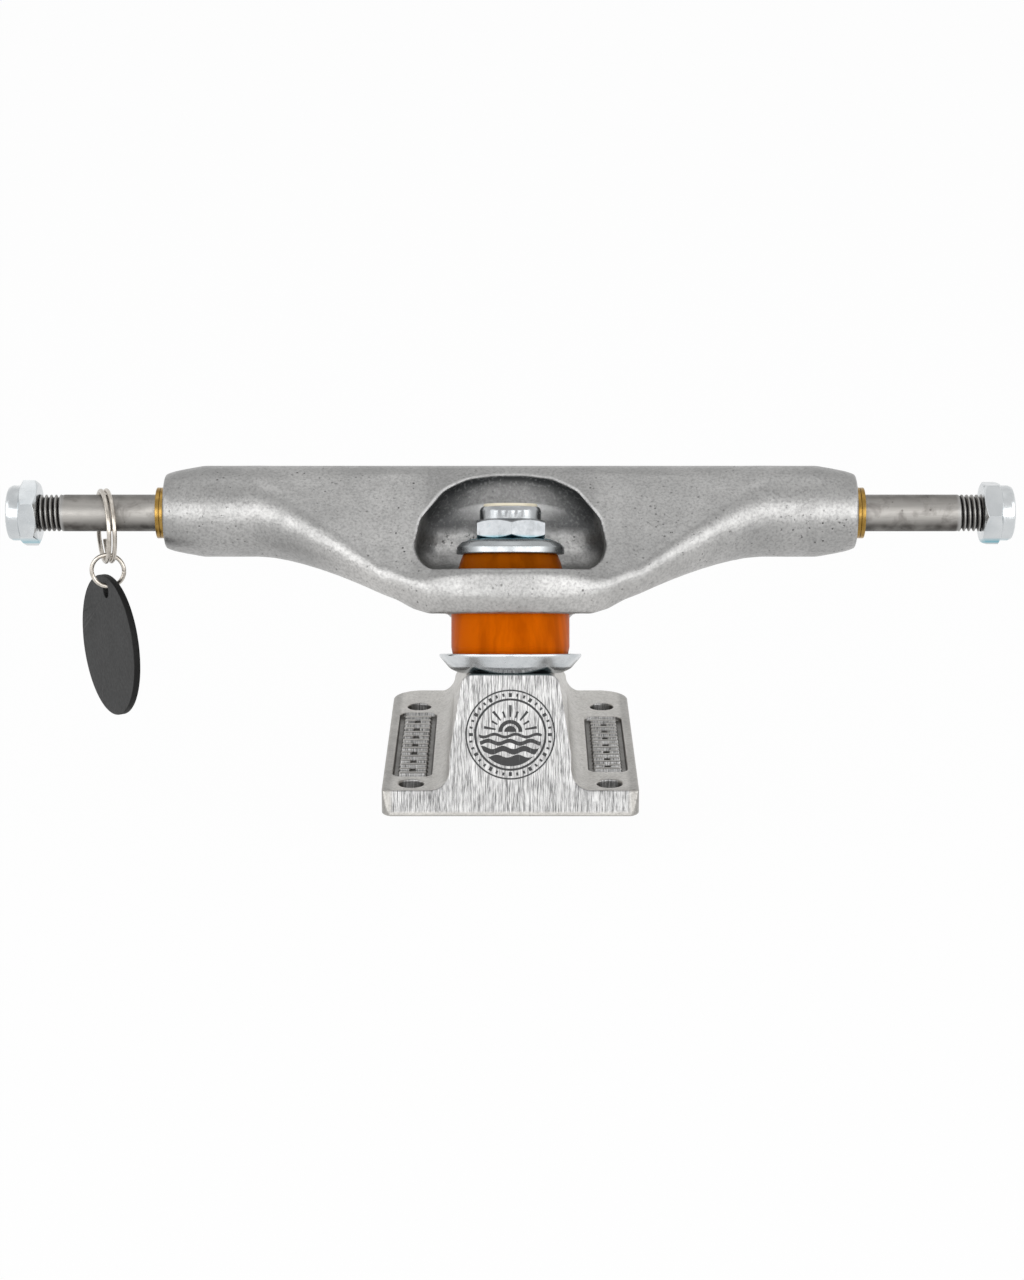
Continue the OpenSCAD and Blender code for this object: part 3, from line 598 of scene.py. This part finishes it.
# Cup washers, pressed from sheet with a soft bend and a rolled rim
low_cup = rounded(
    [(4.79, 0.0), (10.6, 0.0), (12.7, 0.95), (13.9, 2.35), (14.95, 3.55), (14.95, 4.1), (13.9, 4.1),
     (10.6, 1.5), (4.79, 1.5)],
    [0.15, 3, 3, 3, 0.5, 0.4, 0.4, 1.2, 0.15], 8)
low_dish = turned("bottom_cup_dish", low_cup, SEAT_T, ZINC, "base")
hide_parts("bottom_cup_washer")
top_cup = rounded(
    [(4.79, 0.0), (8.4, 0.0), (10.4, -0.75), (11.35, -1.7), (11.4, -3.2), (10.4, -3.2),
     (8.4, -1.5), (4.79, -1.5)],
    [0.15, 1.8, 1.6, 0.6, 0.35, 0.35, 0.8, 0.15], 8)
top_dish = turned("top_cup_dish", top_cup, TOP_CUP_TOP_T, DULL_ZINC, "base")
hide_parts("top_cup_washer")

# Bushings, between baseplate and hanger
low_barrel = rounded(
    [(4.9, 0.0), (9.8, 0.0), (12.1, 2.2), (12.45, 4.0), (12.45, 7.0), (12.45, 10.0), (12.45, 13.6),
     (5.9, 13.6), (5.4, 8.0)],
    [0.3, 1.0, 0.8, 0.8, 0, 0, 0.8, 0.3, 0])
low_bushing = turned("bottom_bushing_barrel", low_barrel, LOW_BUSH_T, ORANGE_URETHANE)
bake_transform(low_bushing)
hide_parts("bottom_bushing")
top_cone = rounded(
    [(5.9, 0.0), (11.05, 0.0), (11.05, 2.8), (10.6, 4.4), (10.05, 5.9), (8.05, 7.8), (4.9, 7.8), (5.2, 4.0)],
    [0.3, 0.6, 1.0, 0, 0.8, 0.5, 0.3, 0])
top_bushing = turned("top_bushing_cone", top_cone, TOP_BUSH_T, SHADED_URETHANE)
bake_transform(top_bushing)
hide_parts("top_bushing")

# Kingpin, its nut and the pivot cup
machined("kingpin", PIN_STEEL, 0.0002)
machined("kingpin_nut", KING_ZINC, 0.00018)
machined("kingpin_nut_insert", NYLON, 0.00015)
machined("pivot_cup", CUP_URETHANE, 0.0003)


# Axle with a rolled thread on each end
def axle_bar():
    """A wider grip inside the hanger, plain journals, and threads that fade in and end in a chamfer."""
    pitch, depth, flank, root = 25.4 / 24, 0.62, 3.4, 0.35
    grip_r, journal_r, grip_end = 4.2, 3.97, 76.35
    thread_start, fine_start, fine_step = AXLE_HALF - 11.4, 96.6, 0.09
    tip_r, tip_slope = 2.95, 0.9
    segments = 72
    plain = [0, 20, 40, 60, 74.5, 76.3, 76.4, 80, 84, 88, 92, 95, 96.2]
    fine_count = int((AXLE_HALF - fine_start) / fine_step) + 1
    half = plain + [fine_start + fine_step * i for i in range(fine_count)] + [AXLE_HALF]
    stations = [-x for x in reversed(half[1:])] + half
    points = []
    for x in stations:
        out = abs(x)
        bar_r = grip_r if out < grip_end else journal_r
        cut = depth * unit(out - thread_start)
        chamfer_r = tip_r + (AXLE_HALF - out) * tip_slope
        for k in range(segments):
            turn = 2 * math.pi * k / segments
            phase = (x / pitch - turn / (2 * math.pi)) % 1.0
            crest = unit(flank * abs(phase - 0.5) - root)
            r = min(bar_r - cut * (1 - crest), chamfer_r)
            points.append(AXLE + Vector((x, r * math.cos(turn), r * math.sin(turn))) * MM)
    return solid("axle_bar", points, capped_faces(len(stations), segments), axle_paint(), "hanger")


bar = axle_bar()
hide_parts("axle")
for side in ("left", "right"):
    machined("axle_nut_" + side, ZINC, 0.00016)
    machined("axle_nut_" + side + "_insert", NYLON, 0.0001)
    for place in ("inner", "outer"):
        machined("speed_ring_" + side + "_" + place, BRASS, 0.00014)


# Split ring: two turns of round wire, slim enough for the jump ring to swing clear
def split_coil():
    """The wire steps from one turn to the next over the crossing, between its two free ends."""
    mid_r, wire, pitch, drop, yaw = 7.675, 0.97, 1.21, 2.93, 17
    first_end, last_end = 36, 684
    crossing, crossing_width = 330, 60
    steps, sides = 360, 24
    centre = AXLE + Vector((TAG_X, 0, -drop)) * MM
    turn_z = Matrix.Rotation(math.radians(yaw), 3, "Z")
    half = wire / 2 * MM
    points = []
    for i in range(steps + 1):
        degrees = first_end + (last_end - first_end) * i / steps
        turn = math.radians(degrees)
        u = unit((degrees - crossing) / crossing_width)
        lead = pitch * (u * u * (3 - 2 * u) - 0.5)
        out = Vector((0, math.cos(turn), math.sin(turn)))
        middle = centre + turn_z @ (Vector((lead, 0, 0)) + out * mid_r) * MM
        for k in range(sides):
            a = 2 * math.pi * k / sides
            points.append(middle + turn_z @ (out * math.cos(a) + Vector((math.sin(a), 0, 0))) * half)
    return solid("split_coil", points, capped_faces(steps + 1, sides), NICKEL, "split_ring")


coil = split_coil()
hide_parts("split_ring")
machined("jump_ring", NICKEL, 0.00008)
machined("tag", tag_paint(), 0.00022)


# Plain printed badge on the face: rings, a row of ticks, a rising sun and waves
def emblem():
    """Flat patches just in front of the tower's face, in millimetres from the badge's middle."""
    points, faces = [], []
    middle_t, print_gap = 14.0, 0.03
    lift = -(FRONT_FACE + print_gap)
    tick_count, ray_count, sun_t = 36, 9, 0.55
    sea_r, sea_steps, wave_length, least_height = 6.55, 90, 4.4, 1e-3

    def patch(outline):
        first = len(points)
        points.extend(on_kingpin(x, lift, middle_t + t) for x, t in outline)
        faces.append(tuple(range(first, first + len(outline))))

    def band(inner, outer, start=0.0, end=360.0, steps=96, t=0.0):
        """Part of a ring between two radii, from one angle to another, at a height t."""
        for i in range(steps):
            a, b = (math.radians(start + (end - start) * (i + j) / steps) for j in (0, 1))
            corners = ((inner, a), (outer, a), (outer, b), (inner, b))
            patch([(r * math.cos(c), t + r * math.sin(c)) for r, c in corners])

    def wave(level, thick, swing, shift):
        """A wavy band, kept inside the badge's inner circle."""
        for i in range(sea_steps):
            x0, x1 = (sea_r * (2 * (i + j) / sea_steps - 1) for j in (0, 1))
            outline = []
            for x, part in ((x0, 0), (x1, 0), (x1, 1), (x0, 1)):
                half = math.sqrt(max(0.0, sea_r * sea_r - x * x))
                t = level + swing * math.sin(2 * math.pi * (x / wave_length + shift)) - thick * (1 - part)
                outline.append((x, max(-half, min(half, t))))
            heights = outline[3][1] - outline[0][1], outline[2][1] - outline[1][1]
            if max(heights) > least_height:
                patch(outline)

    band(9.0, 9.32)
    band(7.05, 7.5)
    for i in range(tick_count):
        a = 360.0 / tick_count * i
        inner, half = (7.95, 1.5) if i % 3 else (7.75, 2.3)
        band(inner, 8.6, a - half, a + half, 3)
    band(0.0, 1.25, 0, 180, 24, sun_t)
    band(1.7, 2.5, 0, 180, 36, sun_t)
    for i in range(ray_count):
        a = 180.0 / ray_count * (i + 0.5)
        band(3.1, 4.5 if i % 2 else 5.55, a - 3.0, a + 3.0, 3, sun_t)
    wave(0.1, 0.62, 0.3, 0.0)
    wave(-1.15, 0.85, 0.32, 0.3)
    wave(-2.65, 1.15, 0.34, 0.6)
    wave(-4.45, 3.0, 0.3, 0.9)
    return solid("face_emblem", points, faces, ink_paint(), "base")


badge = emblem()


# Floor and light
def shader_node(tree, kind, **inputs):
    """A new node of a floor or sky shader, with some of its inputs set."""
    node = tree.nodes.new("ShaderNode" + kind)
    for key, value in inputs.items():
        node.inputs[key].default_value = value
    return node


def seen_rays(tree):
    """1 for rays by which the background shows: straight, in gloss or through glass."""
    path = shader_node(tree, "LightPath")
    total = path.outputs["Is Camera Ray"]
    for name in ("Is Glossy Ray", "Is Transmission Ray"):
        add = shader_node(tree, "Math")
        add.operation = "ADD"
        add.use_clamp = True
        tree.links.new(total, add.inputs[0])
        tree.links.new(path.outputs[name], add.inputs[1])
        total = add.outputs[0]
    return total


def mixed(tree, output, share, first, second):
    """Ends a shader in a share of a second shader over a first."""
    mix = shader_node(tree, "MixShader")
    tree.links.new(share, mix.inputs[0])
    tree.links.new(first.outputs[0], mix.inputs[1])
    tree.links.new(second.outputs[0], mix.inputs[2])
    tree.links.new(mix.outputs[0], shader_node(tree, output).inputs[0])


def floor():
    """A wide pale floor, just low enough to clear the tag when the truck steers towards it."""
    wide = FLOOR_HALF
    corners = [(x, y, FLOOR_Z) for x, y in ((-wide, -wide), (wide, -wide), (wide, wide), (-wide, wide))]
    mesh = bpy.data.meshes.new("floor")
    mesh.from_pydata(corners, [], [(0, 1, 2, 3)])
    obj = bpy.data.objects.new("floor", mesh)
    bpy.context.scene.collection.objects.link(obj)
    mat = bpy.data.materials.new("pale_floor")
    mat.use_nodes = True
    tree = mat.node_tree
    tree.nodes.clear()
    diffuse = shader_node(tree, "BsdfDiffuse", Color=(0.86, 0.86, 0.86, 1))
    glow = shader_node(tree, "Emission", Strength=1.0)
    share = shader_node(tree, "Math")
    share.operation = "MULTIPLY"
    share.inputs[1].default_value = 0.97
    tree.links.new(seen_rays(tree), share.inputs[0])
    mixed(tree, "OutputMaterial", share.outputs[0], diffuse, glow)
    mesh.materials.append(mat)


def world():
    """Dim as soft light, but white, fading a little towards the top, wherever it is seen or mirrored."""
    sky = bpy.data.worlds.new("studio")
    bpy.context.scene.world = sky
    sky.use_nodes = True
    tree = sky.node_tree
    tree.nodes.clear()
    dim = shader_node(tree, "Background", Color=(0.96, 0.98, 1.0, 1), Strength=0.5)
    white = shader_node(tree, "Background")
    coord = shader_node(tree, "TexCoord")
    split = shader_node(tree, "SeparateXYZ")
    ramp = shader_node(tree, "MapRange")
    ramp.interpolation_type = "SMOOTHSTEP"
    for i, v in enumerate((0.15, 0.8, 1.0, 0.85)):
        ramp.inputs[i + 1].default_value = v
    tree.links.new(coord.outputs["Generated"], split.inputs[0])
    tree.links.new(split.outputs["Z"], ramp.inputs[0])
    tree.links.new(ramp.outputs[0], white.inputs["Color"])
    mixed(tree, "OutputWorld", seen_rays(tree), dim, white)


def softbox(name, place, width, height, watts):
    """A rectangular lamp aimed at the truck."""
    lamp = bpy.data.lights.new(name, "AREA")
    lamp.shape = "RECTANGLE"
    lamp.size, lamp.size_y = width, height
    lamp.energy = watts
    obj = bpy.data.objects.new(name, lamp)
    bpy.context.scene.collection.objects.link(obj)
    obj.location = place
    obj.rotation_euler = (LAMP_AIM - Vector(place)).to_track_quat("-Z", "Y").to_euler()


floor()
world()
for turn, height, tall, watts in ((16, 0.30, 0.60, 1.5), (37, 0.25, 0.50, 1.1), (58, 0.20, 0.40, 1.1)):
    across, near = LAMP_ARC * math.sin(math.radians(turn)), LAMP_ARC * math.cos(math.radians(turn))
    softbox("front_%d_left" % turn, (-across, -near, height), 0.36, tall, watts)
    softbox("front_%d_right" % turn, (across, -near, height), 0.36, tall, watts)
softbox("left", (-0.95, -0.3, 0.4), 0.5, 0.5, 0.9)
softbox("right", (0.95, -0.3, 0.4), 0.5, 0.5, 0.9)
softbox("overhead", (0, 0.1, 1.0), 0.9, 0.5, 0.7)

# Camera at the photograph's viewing angle
target = Vector((0.34, 0, 28.56)) * MM
elevation, distance = math.radians(15.94), 0.6093
camera_data = bpy.data.cameras.new("photo_camera")
camera_data.lens = 79.57
camera_data.sensor_width = 36
camera_data.clip_start = 0.01
camera = bpy.data.objects.new("photo_camera", camera_data)
bpy.context.scene.collection.objects.link(camera)
camera.location = target + Vector((0, -math.cos(elevation), math.sin(elevation))) * distance
camera.rotation_euler = (target - camera.location).to_track_quat("-Z", "Y").to_euler()
bpy.context.scene.camera = camera
bpy.context.scene.view_settings.view_transform = "Standard"
